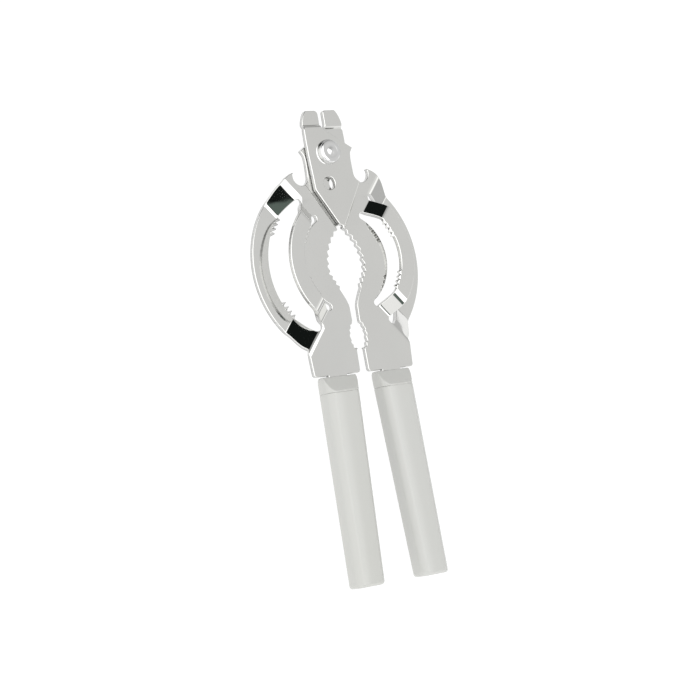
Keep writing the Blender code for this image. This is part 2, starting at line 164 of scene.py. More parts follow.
def lever_outline(head):
    """Outer loop of the lever whose arm is on +x, with a short stub of its tang."""
    rise = 0.66 if head > 0 else 0.34
    gap = -NOSE_HALF_GAP
    inner = 1.2 if head < 0 else 1.7
    pts = [(-7.35, NOSE_TOP)]
    pts += arc((gap - inner, NOSE_TOP - inner), inner, 90, 0, 12)
    pts += [(gap, NOSE_BEND[1]), (gap, NOSE_BEND[0] - 0.1)]
    pts += [HOOK, (11.1, -0.65), (10.75, -3.4)]
    pts += arc(NOTCH_C, NOTCH_R, 180, 360 + TOOTH_ANGLE, 60)
    root = polar(ROOT_OUTER, R_ROOT_OUT)
    pts += bezier(pts[-1], (22.4, -8.8), root, 20)[1:-1]
    n = 180
    for i in range(n + 1):
        a = ROOT_OUTER - 2 * ROOT_OUTER * i / n
        pts.append(polar(a, band_outer(a)))
    pts += [(PLATE_SIDE_X, pts[-1][1] - 1.5)]
    pts += arc((PLATE_SIDE_X - CORNER_R, PLATE_BOTTOM + CORNER_R), CORNER_R, 0, -90, 12)
    stub = PLATE_BOTTOM - 2.0
    pts += [(grip_centre(PLATE_BOTTOM) + TANG_HALF, PLATE_BOTTOM),
            (grip_centre(stub) + TANG_HALF, stub),
            (grip_centre(stub) - TANG_HALF, stub),
            (grip_centre(PLATE_BOTTOM) - TANG_HALF, PLATE_BOTTOM)]
    pts += arc((PLATE_INNER_X + CORNER_R, PLATE_BOTTOM + CORNER_R), CORNER_R, -90, -180, 12)
    low, high, sag = (2.05, -84.3), (1.7, -72.2), 2.35
    half = math.hypot(low[0] - high[0], low[1] - high[1]) / 2
    radius = (half * half + sag * sag) / (2 * sag)
    centre = ((low[0] + high[0]) / 2 - (radius - sag), (low[1] + high[1]) / 2)
    a_low = math.degrees(math.atan2(low[1] - centre[1], low[0] - centre[0]))
    a_high = math.degrees(math.atan2(high[1] - centre[1], high[0] - centre[0]))
    pts += toothed_arc(centre, radius, a_low, a_high, SMALL_PITCH, SMALL_DEPTH, rise)
    jaw_low = polar(JAW_A1, JAW_R, JAW_C)
    line_end = (5.3, -58.5)
    pts += bezier((1.95, -66.2), (2.3, -63.6), line_end, 20)[:-1]
    pts += toothed_line(line_end, jaw_low, TOOTH_PITCH, TOOTH_DEPTH, rise)[:-1]
    pts += toothed_arc(JAW_C, JAW_R, JAW_A1, JAW_A0, TOOTH_PITCH, TOOTH_DEPTH, rise)
    pts += [(-0.55, -31.1)]
    pts += bezier((-9.2, -16.45), (-9.65, -15.7), (-9.63, -14.8), 10)
    pts += [(-x, y) for x, y in zip(HEAD_SIDE[head], HEAD_SIDE_Y)]
    pts += bezier((-10.2, 11.3), (-9.9, 15.2), (-7.9, 17.85), 24)
    return pts


def slot(r_in, r_out, end, teeth, rise):
    mid, cap = (r_in + r_out) / 2, (r_out - r_in) / 2
    pts = []
    steps = 140
    for i in range(steps + 1):
        pts.append(polar(-end + 2 * end * i / steps, r_in))
    pts += arc(polar(end, mid), cap, end + 180, end, 24, False)
    (t0, t1), (t2, t3) = teeth
    pts += arc((ARC_X, ARC_Y), r_out, end, t0, 20)[:-1]
    pts += toothed_arc((ARC_X, ARC_Y), r_out, t0, t1, RIM_PITCH, RIM_DEPTH, rise)
    pts += arc((ARC_X, ARC_Y), r_out, t1, t2, 50, False)
    pts += toothed_arc((ARC_X, ARC_Y), r_out, t2, t3, RIM_PITCH, RIM_DEPTH, rise)
    pts += arc((ARC_X, ARC_Y), r_out, t3, -end, 20)[1:]
    pts += arc(polar(-end, mid), cap, -end, -end - 180, 24, False)
    return pts


def circle(centre, radius, n=96):
    return [polar(360 * i / n, radius, centre) for i in range(n)]


# ------------------------------------------------------------------ plate surface
class Ramp:
    def __init__(self, radius, up, inner, share_high, outer=RAMP_OUTER, share_low=BEND_LOW):
        line = math.radians(RAMP_LINE)
        self.along = np.array((math.cos(line), up * math.sin(line)))
        self.across = np.array((math.sin(line), -up * math.cos(line)))
        self.start = np.array(polar(up * outer, radius))
        self.length = float((np.array(polar(up * inner, radius)) - self.start) @ self.across)
        self.low, self.high = share_low, share_high

    def share(self, x, y):
        u = ((x - self.start[0]) * self.across[0] + (y - self.start[1]) * self.across[1])
        u = np.clip(u / self.length, 0.0, 1.0)
        m = 1 / (1 - (self.low + self.high) / 2)
        return np.where(u < self.low, m * u * u / (2 * self.low),
                        np.where(u > 1 - self.high, 1 - m * (1 - u) ** 2 / (2 * self.high),
                                 m * (u - self.low / 2)))

    def grid(self, r_in, r_out, step):
        """Points along the bend lines, close together across each bend."""
        us = list(np.linspace(-0.02, self.low + 0.02, 11))
        us += list(np.linspace(self.low + 0.02, 1 - self.high - 0.02, 5)[1:-1])
        us += list(np.linspace(1 - self.high - 0.02, 1.02, 11))
        out = []
        for u in us:
            q = self.start + u * self.length * self.across - np.array((ARC_X, ARC_Y))
            b, c = q @ self.along, q @ q
            t0, t1 = (-b + math.sqrt(b * b - c + r * r) for r in (r_in, r_out))
            n = max(2, int((t1 - t0) / step))
            for i in range(n + 1):
                out.append(tuple(q + (t0 + (t1 - t0) * i / n) * self.along
                                 + np.array((ARC_X, ARC_Y))))
        return out


MID_STRIP = (R_STRIP_IN + R_STRIP_OUT) / 2
MID_BAND = (R_BAND_IN + R_BAND_OUT) / 2
STRIP_RAMPS = {1: Ramp(MID_STRIP, 1, RAMP_INNER, BEND_HIGH),
               -1: Ramp(MID_STRIP, -1, STRIP_LOW_INNER, STRIP_LOW_BEND_HIGH)}
BAND_RAMPS = {up: Ramp(MID_BAND, up, BAND_RAMP_INNER[up], BAND_BEND_HIGH[up], BAND_RAMP_OUTER[up], BAND_BEND_LOW[up])
              for up in (1, -1)}
SWELL = 0.07


def crease_side(x, y):
    dx, dy = CREASE_B[0] - CREASE_A[0], CREASE_B[1] - CREASE_A[1]
    return ((x - CREASE_A[0]) * -dy + (y - CREASE_A[1]) * dx) / math.hypot(dx, dy)


def level(x, y, head):
    """Height of the middle surface of the plate, for arrays of points."""
    x, y = np.asarray(x, float), np.asarray(y, float)
    nose = (y - NOSE_BEND[0]) / (NOSE_BEND[1] - NOSE_BEND[0])
    arm = crease_side(x, y) / CREASE_W
    z = head * HEAD_Z * (1 - smooth_step(nose)) * (1 - smooth_step(arm))
    r = np.hypot(x - ARC_X, y - ARC_Y)
    up = y > ARC_Y
    strip = STRIP_RISE * np.where(up, STRIP_RAMPS[1].share(x, y), STRIP_RAMPS[-1].share(x, y))
    band = -BAND_DROP * np.where(up, BAND_RAMPS[1].share(x, y), BAND_RAMPS[-1].share(x, y))
    # the drawn sheet swells a little between the bends of each ramp
    across = np.clip((r - MID_BAND) / 4.2, -1, 1)
    for up_side, ramp in BAND_RAMPS.items():
        t = ramp.share(x, y)
        band = band + np.where(up == (up_side > 0), SWELL * (1 - across ** 2) * np.sin(math.pi * t), 0.0)
    w1 = smooth_step((r - R_MAIN) / (R_STRIP_IN - R_MAIN))
    w2 = smooth_step((r - R_STRIP_OUT) / (R_BAND_IN - R_STRIP_OUT))
    lift = w1 * ((1 - w2) * strip + w2 * band)
    return z + np.where((x > ARC_X) & (r > R_MAIN), lift, 0.0)


def surface(xy, head):
    """(points on the middle surface, its unit normals) for an n x 2 array."""
    e = 0.02
    x, y = xy[:, 0], xy[:, 1]
    z = level(x, y, head)
    gx = (level(x + e, y, head) - level(x - e, y, head)) / (2 * e)
    gy = (level(x, y + e, head) - level(x, y - e, head)) / (2 * e)
    n = np.stack([-gx, -gy, np.ones_like(gx)], 1)
    n /= np.linalg.norm(n, axis=1)[:, None]
    return np.stack([x, y, z], 1), n


# ------------------------------------------------------------------ smooth loops
def signed_area(p):
    q = np.roll(p, -1, 0)
    return 0.5 * float((p[:, 0] * q[:, 1] - q[:, 0] * p[:, 1]).sum())


ROOT_SPREAD = 0.85


def spread(p):
    """Moves the lower end of the outer band outwards where it runs into the plate."""
    d = p - np.array((ARC_X, ARC_Y))
    r = np.hypot(d[:, 0], d[:, 1])
    a = np.degrees(np.arctan2(-d[:, 1], d[:, 0]))
    low = (d[:, 0] > 0) & (p[:, 1] > -83.5)
    k = np.where(low, ROOT_SPREAD * smooth_step((a - 41) / 12) * smooth_step((r - 31.0) / 2.2), 0.0)
    return p + d / np.maximum(r, 1e-9)[:, None] * k[:, None]


def fine_loop(pts, ccw, sigma, spacing=0.06):
    """Evenly resampled, corner-rounded loop: points and unit tangents."""
    p = spread(np.array(pts, float))
    keep = np.linalg.norm(p - np.roll(p, 1, 0), axis=1) > 1e-6
    p = p[keep]
    if (signed_area(p) > 0) != ccw:
        p = p[::-1]
    q = np.vstack([p, p[:1]])
    s = np.concatenate([[0], np.cumsum(np.linalg.norm(np.diff(q, axis=0), axis=1))])
    n = int(s[-1] / spacing)
    t = np.arange(n) * s[-1] / n
    f = np.stack([np.interp(t, s, q[:, 0]), np.interp(t, s, q[:, 1])], 1)
    h = s[-1] / n
    k = int(4 * sigma / h) + 1
    w = np.exp(-0.5 * (np.arange(-k, k + 1) * h / sigma) ** 2)
    w /= w.sum()
    g = np.zeros_like(f)
    for i, wi in zip(range(-k, k + 1), w):
        g += wi * np.roll(f, -i, 0)
    tan = np.roll(g, -1, 0) - np.roll(g, 1, 0)
    tan /= np.linalg.norm(tan, axis=1)[:, None]
    return g, tan


def thin_loop(p, tan, turn=0.13, longest=1.1, shortest=0.05):
    """Keeps points where the loop turns, and spaces the rest out."""
    out = [0]
    spent = 0.0
    turned = 0.0
    n = len(p)
    ang = np.arctan2(tan[:, 1], tan[:, 0])
    for i in range(1, n):
        spent += float(np.linalg.norm(p[i] - p[i - 1]))
        d = ang[i] - ang[i - 1]
        turned += abs((d + math.pi) % (2 * math.pi) - math.pi)
        if spent >= longest or (turned >= turn and spent >= shortest):
            out.append(i)
            spent = turned = 0.0
    return p[out], tan[out]


def inside(loops, pts):
    """Even-odd test of many points against all loops at once."""
    hit = np.zeros(len(pts), int)
    for p in loops:
        q = np.roll(p, -1, 0)
        for a in range(0, len(pts), 4000):
            x, y = pts[a:a + 4000, 0][:, None], pts[a:a + 4000, 1][:, None]
            cross = (p[None, :, 1] > y) != (q[None, :, 1] > y)
            dy = q[None, :, 1] - p[None, :, 1]
            dy = np.where(dy == 0, 1e-12, dy)
            xi = p[None, :, 0] + (q[None, :, 0] - p[None, :, 0]) * (y - p[None, :, 1]) / dy
            hit[a:a + 4000] += (cross & (x < xi)).sum(1)
    return hit % 2 == 1


# ------------------------------------------------------------------ mesh helpers
def mesh_object(name, verts, faces, normals=None, mat=None, smooth=True):
    me = bpy.data.meshes.new(name)
    me.from_pydata([tuple(v) for v in verts], [], [tuple(int(i) for i in f) for f in faces])
    me.update()
    if smooth:
        me.polygons.foreach_set("use_smooth", [True] * len(me.polygons))
    if normals is not None:
        me.normals_split_custom_set_from_vertices([tuple(n) for n in normals])
    ob = bpy.data.objects.new(name, me)
    bpy.context.scene.collection.objects.link(ob)
    if mat:
        me.materials.append(mat)
    return ob


def to_world(p, side):
    q = np.array(p, float)
    q[:, 0] *= side
    return q * MM + np.array(PIVOT)


EDGE_TOP, EDGE_BACK = 0.32, 0.25


def lever(name, side, head, mat):
    rise = 0.66 if head > 0 else 0.34
    raw = [(lever_outline(head), True, 0.13), (slot(R_MAIN, R_STRIP_IN, SLOT1_END, STRIP_TEETH, rise), False, 0.12),
           (slot(R_STRIP_OUT, R_BAND_IN, SLOT2_END, BAND_TEETH, rise), False, 0.12),
           (circle((0, 0), PIVOT_HOLE_R), False, 0.1), (circle(HOLE_C, HOLE_R), False, 0.1)]
    loops = [thin_loop(*fine_loop(*r)) for r in raw]
    # stations across the edge: inset, height, share of the outward direction, share of the normal
    half = PLATE_T / 2
    rings = [(EDGE_TOP + 0.07, half, 0.0, 1.0)]
    for a in (90, 72, 54, 36, 18, 0):
        c, s = math.cos(math.radians(a)), math.sin(math.radians(a))
        rings.append((EDGE_TOP * (1 - c), half - EDGE_TOP * (1 - s), c, s))
    rings.append((0.0, -half + EDGE_BACK + 0.32, 1.0, 0.0))
    for a in (0, 30, 60, 90):
        c, s = math.cos(math.radians(a)), math.sin(math.radians(a))
        rings.append((EDGE_BACK * (1 - c), -half + EDGE_BACK * (1 - s), c, -s))
    rings.append((EDGE_TOP + 0.07, -half, 0.0, -1.0))

    verts, normals, faces, slots = [], [], [], []
    count = 0
    first, last, inner = [], [], []
    for p, tan in loops:
        n = len(p)
        out2 = np.stack([tan[:, 1], -tan[:, 0]], 1)
        starts = []
        for inset, h, co, sn in rings:
            q = p - out2 * inset
            m, nn = surface(q, head)
            slope = -(nn[:, 0] * tan[:, 0] + nn[:, 1] * tan[:, 1]) / nn[:, 2]
            t3 = np.stack([tan[:, 0], tan[:, 1], slope], 1)
            o3 = np.cross(t3, nn)
            o3 /= np.linalg.norm(o3, axis=1)[:, None]
            verts.append(m + nn * h)
            normals.append(o3 * co + nn * sn)
            starts.append(count)
            count += n
        for k, (a, b) in enumerate(zip(starts, starts[1:])):
            for i in range(n):
                j = (i + 1) % n
                faces.append((a + i, b + i, b + j, a + j))
                # strips 5-6 (end of the top rounding and the side face) take the duller edge chrome, which also holds
                # painted shade; strips 7-9 (lower side face and back rounding) take a darker edge chrome, which is the
                # real torn zone and also painted shadow of the table under the plate; the rest take the plate chrome
                slots.append((0, 0, 0, 0, 0, 1, 1, 2, 2, 2, 0, 0)[k])
        first.append(starts[0])
        last.append(starts[-1])
        inner.append(p - out2 * (EDGE_TOP + 0.07))

    # interior of both flats: one triangulation, used for the top and turned over for the back
    extra = []
    for ramps, r0, r1 in ((STRIP_RAMPS, R_STRIP_IN - 1, R_STRIP_OUT + 1), (BAND_RAMPS, R_BAND_IN - 1, R_ROOT_OUT + 1)):
        for ramp in ramps.values():
            extra += ramp.grid(r0, r1, 0.8)
    for y in np.linspace(NOSE_BEND[0] - 0.05, NOSE_BEND[1] + 0.05, 9):
        extra += [(x, y) for x in np.arange(-10.4, -0.9, 0.7)]
    dx, dy = CREASE_B[0] - CREASE_A[0], CREASE_B[1] - CREASE_A[1]
    d = math.hypot(dx, dy)
    for o in np.linspace(-0.05, CREASE_W + 0.05, 9):
        for t in np.arange(-1.5, d + 1.5, 0.7):
            extra.append((CREASE_A[0] + dx / d * t - dy / d * o, CREASE_A[1] + dy / d * t + dx / d * o))
    extra = np.array(extra)
    extra = extra[inside(inner, extra)]
    edge = np.vstack(inner)
    near = np.array([np.min(np.hypot(edge[:, 0] - x, edge[:, 1] - y)) for x, y in extra])
    extra = extra[near > 0.22]
    pts = [Vector(p) for loop in inner for p in loop]
    segs = []
    base = 0
    for loop in inner:
        n = len(loop)
        segs += [(base + i, base + (i + 1) % n) for i in range(n)]
        base += n
    out = delaunay_2d_cdt(pts + [Vector(p) for p in extra], segs, [], 0, 1e-6)
    co = np.array([tuple(v) for v in out[0]])
    tri = np.array([t for t in out[2]])
    tri = tri[inside(inner, co[tri].mean(1))]
    a, b, c = co[tri[:, 0]], co[tri[:, 1]], co[tri[:, 2]]
    flip = ((b[:, 0] - a[:, 0]) * (c[:, 1] - a[:, 1]) - (b[:, 1] - a[:, 1]) * (c[:, 0] - a[:, 0])) < 0
    tri[flip] = tri[flip][:, ::-1]
    sizes = np.cumsum([0] + [len(l) for l in inner])
    top_of = np.full(len(co), -1)
    back_of = np.full(len(co), -1)
    for i, src in enumerate(out[3]):
        for s in src:
            if s < base:
                k = int(np.searchsorted(sizes, s, side="right") - 1)
                top_of[i] = first[k] + (s - sizes[k])
                back_of[i] = last[k] + (s - sizes[k])
                break
    free = np.array([i for i in np.unique(tri) if top_of[i] < 0])
    m, nn = surface(co[free], head)
    verts.append(m + nn * half)
    normals.append(nn)
    top_of[free] = count + np.arange(len(free))
    count += len(free)
    verts.append(m - nn * half)
    normals.append(-nn)
    back_of[free] = count + np.arange(len(free))
    count += len(free)
    for t in tri:
        faces.append(tuple(top_of[t]))
        faces.append(tuple(back_of[t][::-1]))
        slots += [0, 0]

    v = np.vstack(verts)
    nrm = np.vstack(normals)
    # rings run outwards and down: turn every face so that it looks out of the plate
    if side < 0:
        nrm[:, 0] *= -1
    v = to_world(v, side)
    fixed = []
    for f in faces:
        q = v[list(f)]
        fn = np.cross(q[1] - q[0], q[2] - q[0]) if len(f) == 3 else np.cross(q[2] - q[0], q[3] - q[1])
        fixed.append(f if float(fn @ nrm[list(f)].sum(0)) > 0 else f[::-1])
    ob = mesh_object(name, v, fixed, nrm, mat)
    ob.data.materials.append(SHEARED_EDGE_PAINTED_SHADE)
    ob.data.materials.append(TORN_ZONE_PAINTED_SHADOW)
    ob.data.polygons.foreach_set("material_index", slots)
    return ob


# ------------------------------------------------------------------ grips
BEVEL = 0.42


def grip(name, side, mat):
    """Moulded sleeve: flat faces, generous corners, sloped shoulder, fine parting line."""
    top_r, flat = 2.9, 28
    corner = np.radians(np.linspace(0, 90, 15))
    ys = list(np.linspace(0, 0.35, 4)) + list(np.linspace(0.35, 6.1, 24))[1:]
    ys += [6.3, 6.5, 6.62, 6.70, 6.78, 6.86, 6.94, 7.02, 7.10, 7.25]
    total = GRIP_TOP - GRIP_END
    end_r = 1.5
    ys += list(np.linspace(7.25, total - end_r - 0.25, 26))[1:]
    stations = [(GRIP_TOP - d, 0.0, 0.0) for d in ys]
    for a in np.linspace(8, 90, 9):
        s = math.radians(a)
        stations.append((GRIP_END + end_r * (1 - math.sin(s)) - 0.0, end_r * (1 - math.cos(s)), 1.0))
    rings = []
    for y, shrink, _ in stations:
        d = GRIP_TOP - y
        f = d / total
        hw = GRIP_HALF_W0 + (GRIP_HALF_W1 - GRIP_HALF_W0) * f - shrink
        ht = GRIP_HALF_T - shrink
        # the parting line is a groove 0.08 mm deep
        groove = 0.20 * math.exp(-((d - 6.86) / 0.12) ** 2)
        lead = 0.30 * (1 - math.sqrt(max(0.0, 1 - (1 - min(1.0, d / 0.35)) ** 2)))
        hw -= groove + lead
        ht -= groove
        r = min(top_r, ht - 0.2) if shrink < 0.01 else max(0.6, top_r - shrink)
        hip = 1.75 + (GRIP_HALF_T - 1.75) * min(1.0, d / 6.3) - lead
        cx = grip_centre(y)
        ring = []
        for sx, sz, order in ((1, 1, 1), (-1, 1, -1), (-1, -1, 1), (1, -1, -1)):
            for a in corner[::order]:
                t = a / (math.pi / 2)
                x = sx * (hw - r + r * ((1 - BEVEL) * math.cos(a) + BEVEL * (1 - t)))
                z = ht - r + r * ((1 - BEVEL) * math.sin(a) + BEVEL * t)
                # soft minimum with the shoulder plane
                k = 0.10
                t = max(0.0, min(1.0, 0.5 + (z - hip) / (2 * k)))
                z = z * (1 - t) + hip * t - k * t * (1 - t)
                ring.append((side * (cx + x), y, sz * z))
        rings.append(ring)
    # the end is closed flat with concentric rings
    n = len(rings[0])
    verts = [p for ring in rings for p in ring]
    faces = []
    for k in range(len(rings) - 1):
        for i in range(n):
            j = (i + 1) % n
            faces.append((k * n + i, k * n + j, (k + 1) * n + j, (k + 1) * n + i))
    lastring = rings[-1]
    cx = sum(p[0] for p in lastring) / n
    base = (len(rings) - 1) * n
    for scale, drop in ((0.8, 0.16), (0.5, 0.33), (0.2, 0.42)):
        start = len(verts)
        for p in lastring:
            verts.append((cx + (p[0] - cx) * scale, p[1], p[2] * scale))
        for i in range(n):
            j = (i + 1) % n
            faces.append((base + i, base + j, start + j, start + i))
        base = start
    faces.append(tuple(base + i for i in range(n)))
    # upper end: a lip, then the socket that the tang goes into
    y_lip = rings[0][0][1]
    cx0 = grip_centre(y_lip)
    start = len(verts)
    for x, y, z in rings[0]:
        verts.append((side * cx0 + max(-TANG_HALF - 0.3, min(TANG_HALF + 0.3, x - side * cx0)), y,
                      max(-1.3, min(1.3, z))))
    for i in range(n):
        j = (i + 1) % n
        faces.append((start + i, start + j, j, i))
    deep = len(verts)
    for k in range(n):
        x, y, z = verts[start + k]
        verts.append((x, y - 4.0, z))
    for i in range(n):
        j = (i + 1) % n
        faces.append((deep + i, deep + j, start + j, start + i))
    faces.append(tuple(deep + i for i in range(n))[::-1])
    v = np.array(verts) * MM + np.array(PIVOT)
    ob = mesh_object(name, v, faces, None, mat)
    me = ob.data
    import bmesh
    bm = bmesh.new()
    bm.from_mesh(me)
    bmesh.ops.remove_doubles(bm, verts=bm.verts, dist=1e-7)
    bmesh.ops.recalc_face_normals(bm, faces=bm.faces)
    bm.to_mesh(me)
    bm.free()
    me.polygons.foreach_set("use_smooth", [True] * len(me.polygons))
    me.set_sharp_from_angle(angle=math.radians(50))
    return ob


# ------------------------------------------------------------------ rivet
def rivet(name, mat):
    front = HEAD_Z + PLATE_T / 2 + RIVET_GAP
    h = RIVET_HEAD_H
    prof = []
    # slopes across the head: pip in the middle, flat seat, convex shoulder, rounded edge
    stations = ((0.0, 0), (0.3, 7), (0.9, 11), (1.5, 12), (1.9, 4), (2.3, 0), (2.8, -3), (3.05, -5), (3.2, 0),
                (3.7, 3), (4.2, 8), (4.5, 24), (4.8, 50), (5.05, 70), (RIVET_HEAD_R, 84))
    rs = np.concatenate([np.linspace(0, 4.3, 60), np.linspace(4.3, RIVET_HEAD_R, 26)[1:]])
    tilt = np.radians(np.interp(rs, [q[0] for q in stations], [q[1] for q in stations]))
    fall = np.concatenate([[0], np.cumsum(np.tan((tilt[1:] + tilt[:-1]) / 2) * np.diff(rs))])
    top = front + max(RIVET_HEAD_H, fall[-1] + 0.15)
    prof += [(float(r), float(top - f)) for r, f in zip(rs, fall)]
    prof.append((RIVET_HEAD_R, front + 0.12))
    prof.append((RIVET_HEAD_R - 0.12, front))
    prof.append((3.06, front))
    prof.append((3.06, -front))
    prof.append((RIVET_HEAD_R - 0.42, -front))
    prof.append((RIVET_HEAD_R - 0.3, -front - 0.12))
    for a in np.linspace(0, 90, 10):
        s = math.radians(a)
        prof.append((RIVET_HEAD_R - 1.1 + 0.8 * math.cos(s), -front - RIVET_BACK_H + 0.8 - 0.8 * math.sin(s)))
    for r in (3.0, 2.0, 1.0, 0.0):
        prof.append((r, -front - RIVET_BACK_H - 0.0))
    steps = 120
    verts, faces = [], []
    rows = []
    for r, z in prof:
        if r < 1e-6:
            rows.append([len(verts)])
            verts.append((0.0, 0.0, z))
        else:
            rows.append(list(range(len(verts), len(verts) + steps)))
            for i in range(steps):
                a = 2 * math.pi * i / steps
                verts.append((r * math.cos(a), r * math.sin(a), z))
    for a, b in zip(rows, rows[1:]):
        for i in range(steps):
            j = (i + 1) % steps
            if len(a) == 1:
                faces.append((a[0], b[j], b[i])[::-1])
            elif len(b) == 1:
                faces.append((a[i], a[j], b[0])[::-1])
            else:
                faces.append((a[i], a[j], b[j], b[i])[::-1])
    v = np.array(verts) * MM + np.array(PIVOT)
    ob = mesh_object(name, v, faces, None, mat)
    import bmesh
    bm = bmesh.new()
    bm.from_mesh(ob.data)
    bmesh.ops.recalc_face_normals(bm, faces=bm.faces)
    bm.to_mesh(ob.data)
    bm.free()
    ob.data.polygons.foreach_set("use_smooth", [True] * len(ob.data.polygons))
    ob.data.set_sharp_from_angle(angle=math.radians(55))
    return ob


# ------------------------------------------------------------------ materials
def nodes_of(name):
    m = bpy.data.materials.new(name)
    m.use_nodes = True
    nt = m.node_tree
    b = nt.nodes["Principled BSDF"]
    return m, nt, b


def add(nt, kind, **inputs):
    n = nt.nodes.new(kind)
    for k, v in inputs.items():
        n.inputs[k.replace("_", " ")].default_value = v
    return n


def chrome(name, colour, seed):
    """Bright nickel-chrome plating: faint waviness of the sheet, hairlines, a little haze."""
    m, nt, b = nodes_of(name)
    link = nt.links.new
    b.inputs["Metallic"].default_value = 1.0
    tc = nt.nodes.new("ShaderNodeTexCoord")
    mp = nt.nodes.new("ShaderNodeMapping")
    mp.inputs["Location"].default_value = (seed, seed * 0.7, 0)
    link(tc.outputs["Object"], mp.inputs["Vector"])
    # colour: barely visible haze of the plating
    haze = add(nt, "ShaderNodeTexNoise", Scale=60.0, Detail=4.0, Roughness=0.55)
    link(mp.outputs[0], haze.inputs["Vector"])
    ramp = nt.nodes.new("ShaderNodeValToRGB")
    ramp.color_ramp.elements[0].position = 0.3
    ramp.color_ramp.elements[1].position = 0.7
    ramp.color_ramp.elements[0].color = (*[c * 0.985 for c in colour], 1)
    ramp.color_ramp.elements[1].color = (*[min(1, c * 1.01) for c in colour], 1)
    link(haze.outputs["Fac"], ramp.inputs["Fac"])
    link(ramp.outputs["Color"], b.inputs["Base Color"])
    # roughness: smears and fine handling marks
    smear = add(nt, "ShaderNodeTexNoise", Scale=220.0, Detail=6.0, Roughness=0.65)
    stretch = nt.nodes.new("ShaderNodeMapping")
    stretch.inputs["Scale"].default_value = (1.0, 0.16, 1.0)
    stretch.inputs["Rotation"].default_value = (0, 0, 0.5 + seed)
    link(mp.outputs[0], stretch.inputs["Vector"])
    link(stretch.outputs[0], smear.inputs["Vector"])
    rr = nt.nodes.new("ShaderNodeMapRange")
    rr.inputs["From Min"].default_value = 0.35
    rr.inputs["From Max"].default_value = 0.75
    rr.inputs["To Min"].default_value = 0.03
    rr.inputs["To Max"].default_value = 0.08
    link(smear.outputs["Fac"], rr.inputs["Value"])
    link(rr.outputs["Result"], b.inputs["Roughness"])
    # bump: slow waviness of the sheet and shallow hairlines
    wave = add(nt, "ShaderNodeTexNoise", Scale=95.0, Detail=1.5, Roughness=0.4)
    link(mp.outputs[0], wave.inputs["Vector"])
    b1 = add(nt, "ShaderNodeBump", Strength=0.10, Distance=0.0006)
    link(wave.outputs["Fac"], b1.inputs["Height"])
    hair = add(nt, "ShaderNodeTexNoise", Scale=900.0, Detail=3.0, Roughness=0.6)
    hm = nt.nodes.new("ShaderNodeMapping")
    hm.inputs["Scale"].default_value = (1.0, 0.03, 1.0)
    hm.inputs["Rotation"].default_value = (0, 0, -0.4 + seed)
    link(mp.outputs[0], hm.inputs["Vector"])
    link(hm.outputs[0], hair.inputs["Vector"])
    b2 = add(nt, "ShaderNodeBump", Strength=0.05, Distance=0.00004)
    link(hair.outputs["Fac"], b2.inputs["Height"])
    link(b1.outputs["Normal"], b2.inputs["Normal"])
    link(b2.outputs["Normal"], b.inputs["Normal"])
    return m


def cut_edge(name, colour, rough):
    """Plated cut edge of the sheet, scored across the thickness. It is darker than the faces partly because of its
    real duller finish and partly as painted shade standing in for the shadowed table that the edge reflects.
    """
    m, nt, b = nodes_of(name)
    link = nt.links.new
    b.inputs["Metallic"].default_value = 1.0
    tc = nt.nodes.new("ShaderNodeTexCoord")
    mp = nt.nodes.new("ShaderNodeMapping")
    mp.inputs["Scale"].default_value = (1.0, 1.0, 0.08)
    link(tc.outputs["Object"], mp.inputs["Vector"])
    score = add(nt, "ShaderNodeTexNoise", Scale=1500.0, Detail=3.0, Roughness=0.6)
    link(mp.outputs[0], score.inputs["Vector"])
    ramp = nt.nodes.new("ShaderNodeValToRGB")
    ramp.color_ramp.elements[0].position = 0.3
    ramp.color_ramp.elements[1].position = 0.7
    ramp.color_ramp.elements[0].color = (*[c * 0.82 for c in colour], 1)
    ramp.color_ramp.elements[1].color = (*[c * 1.1 for c in colour], 1)
    link(score.outputs["Fac"], ramp.inputs["Fac"])
    link(ramp.outputs["Color"], b.inputs["Base Color"])
    rr = nt.nodes.new("ShaderNodeMapRange")
    rr.inputs["To Min"].default_value = rough * 0.8
    rr.inputs["To Max"].default_value = rough * 1.3
    link(score.outputs["Fac"], rr.inputs["Value"])
    link(rr.outputs["Result"], b.inputs["Roughness"])
    bump = add(nt, "ShaderNodeBump", Strength=0.25, Distance=0.00004)
    link(score.outputs["Fac"], bump.inputs["Height"])
    link(bump.outputs["Normal"], b.inputs["Normal"])
    return m


